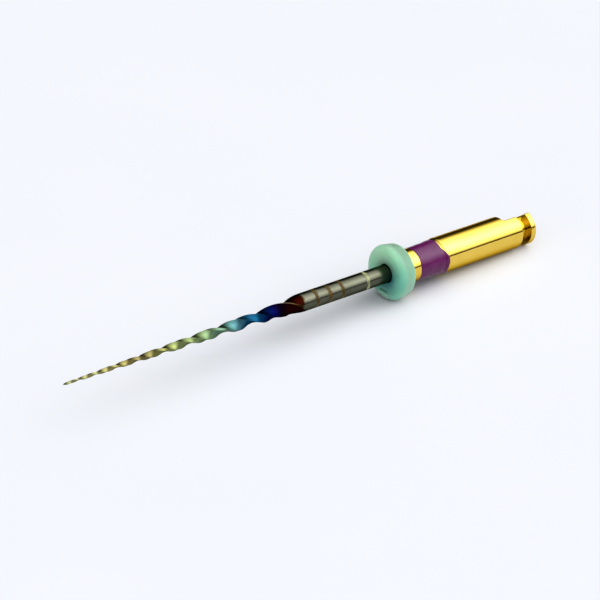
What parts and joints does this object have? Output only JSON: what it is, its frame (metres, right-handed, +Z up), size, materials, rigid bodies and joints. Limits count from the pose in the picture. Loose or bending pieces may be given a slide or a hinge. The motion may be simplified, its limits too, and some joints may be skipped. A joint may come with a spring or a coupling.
{
  "type": "endodontic file",
  "caption": "Rotary root-canal file: twisted tapered blade and plain shaft in a gold latch-grip shank with a purple size band, and a silicone depth stop that slides on the shaft.",
  "frame": {"origin": "centre of the shank's rear end face, on the file's axis", "axes": "+X along the file's axis from the tip towards the shank's rear end, so the tip points to -X; +Z up as the file lies; the drive flat's normal leans 40 degrees from +Z towards +Y"},
  "size_m": [0.0355, 0.0036, 0.0036],
  "materials": {
    "heat_treated_niti": "ground nickel-titanium, grey on the shaft, with heat-tint colours along the flutes",
    "gold_plate": "polished gold plate",
    "purple_enamel": "gloss purple size-code coating",
    "adhesive": "cured epoxy",
    "silicone": "satin translucent silicone",
    "dark_mark": "amber-brown mark",
    "pale_mark": "pale yellow-green mark"
  },
  "bodies": {
    "instrument": {"file_wire": "heat_treated_niti", "latch_shank": "gold_plate", "colour_band": "purple_enamel", "bond_sleeve": "adhesive", "depth_mark_18": "dark_mark", "depth_mark_19": "dark_mark", "depth_mark_20": "dark_mark", "depth_mark_22": "pale_mark"},
    "depth_stop": {"stopper": "silicone"}
  },
  "joints": [
    {"name": "stopper_slide", "type": "slide", "parent": "instrument", "child": "depth_stop", "axis": [1, 0, 0], "range_m": [-0.0065, 0]}
  ]
}
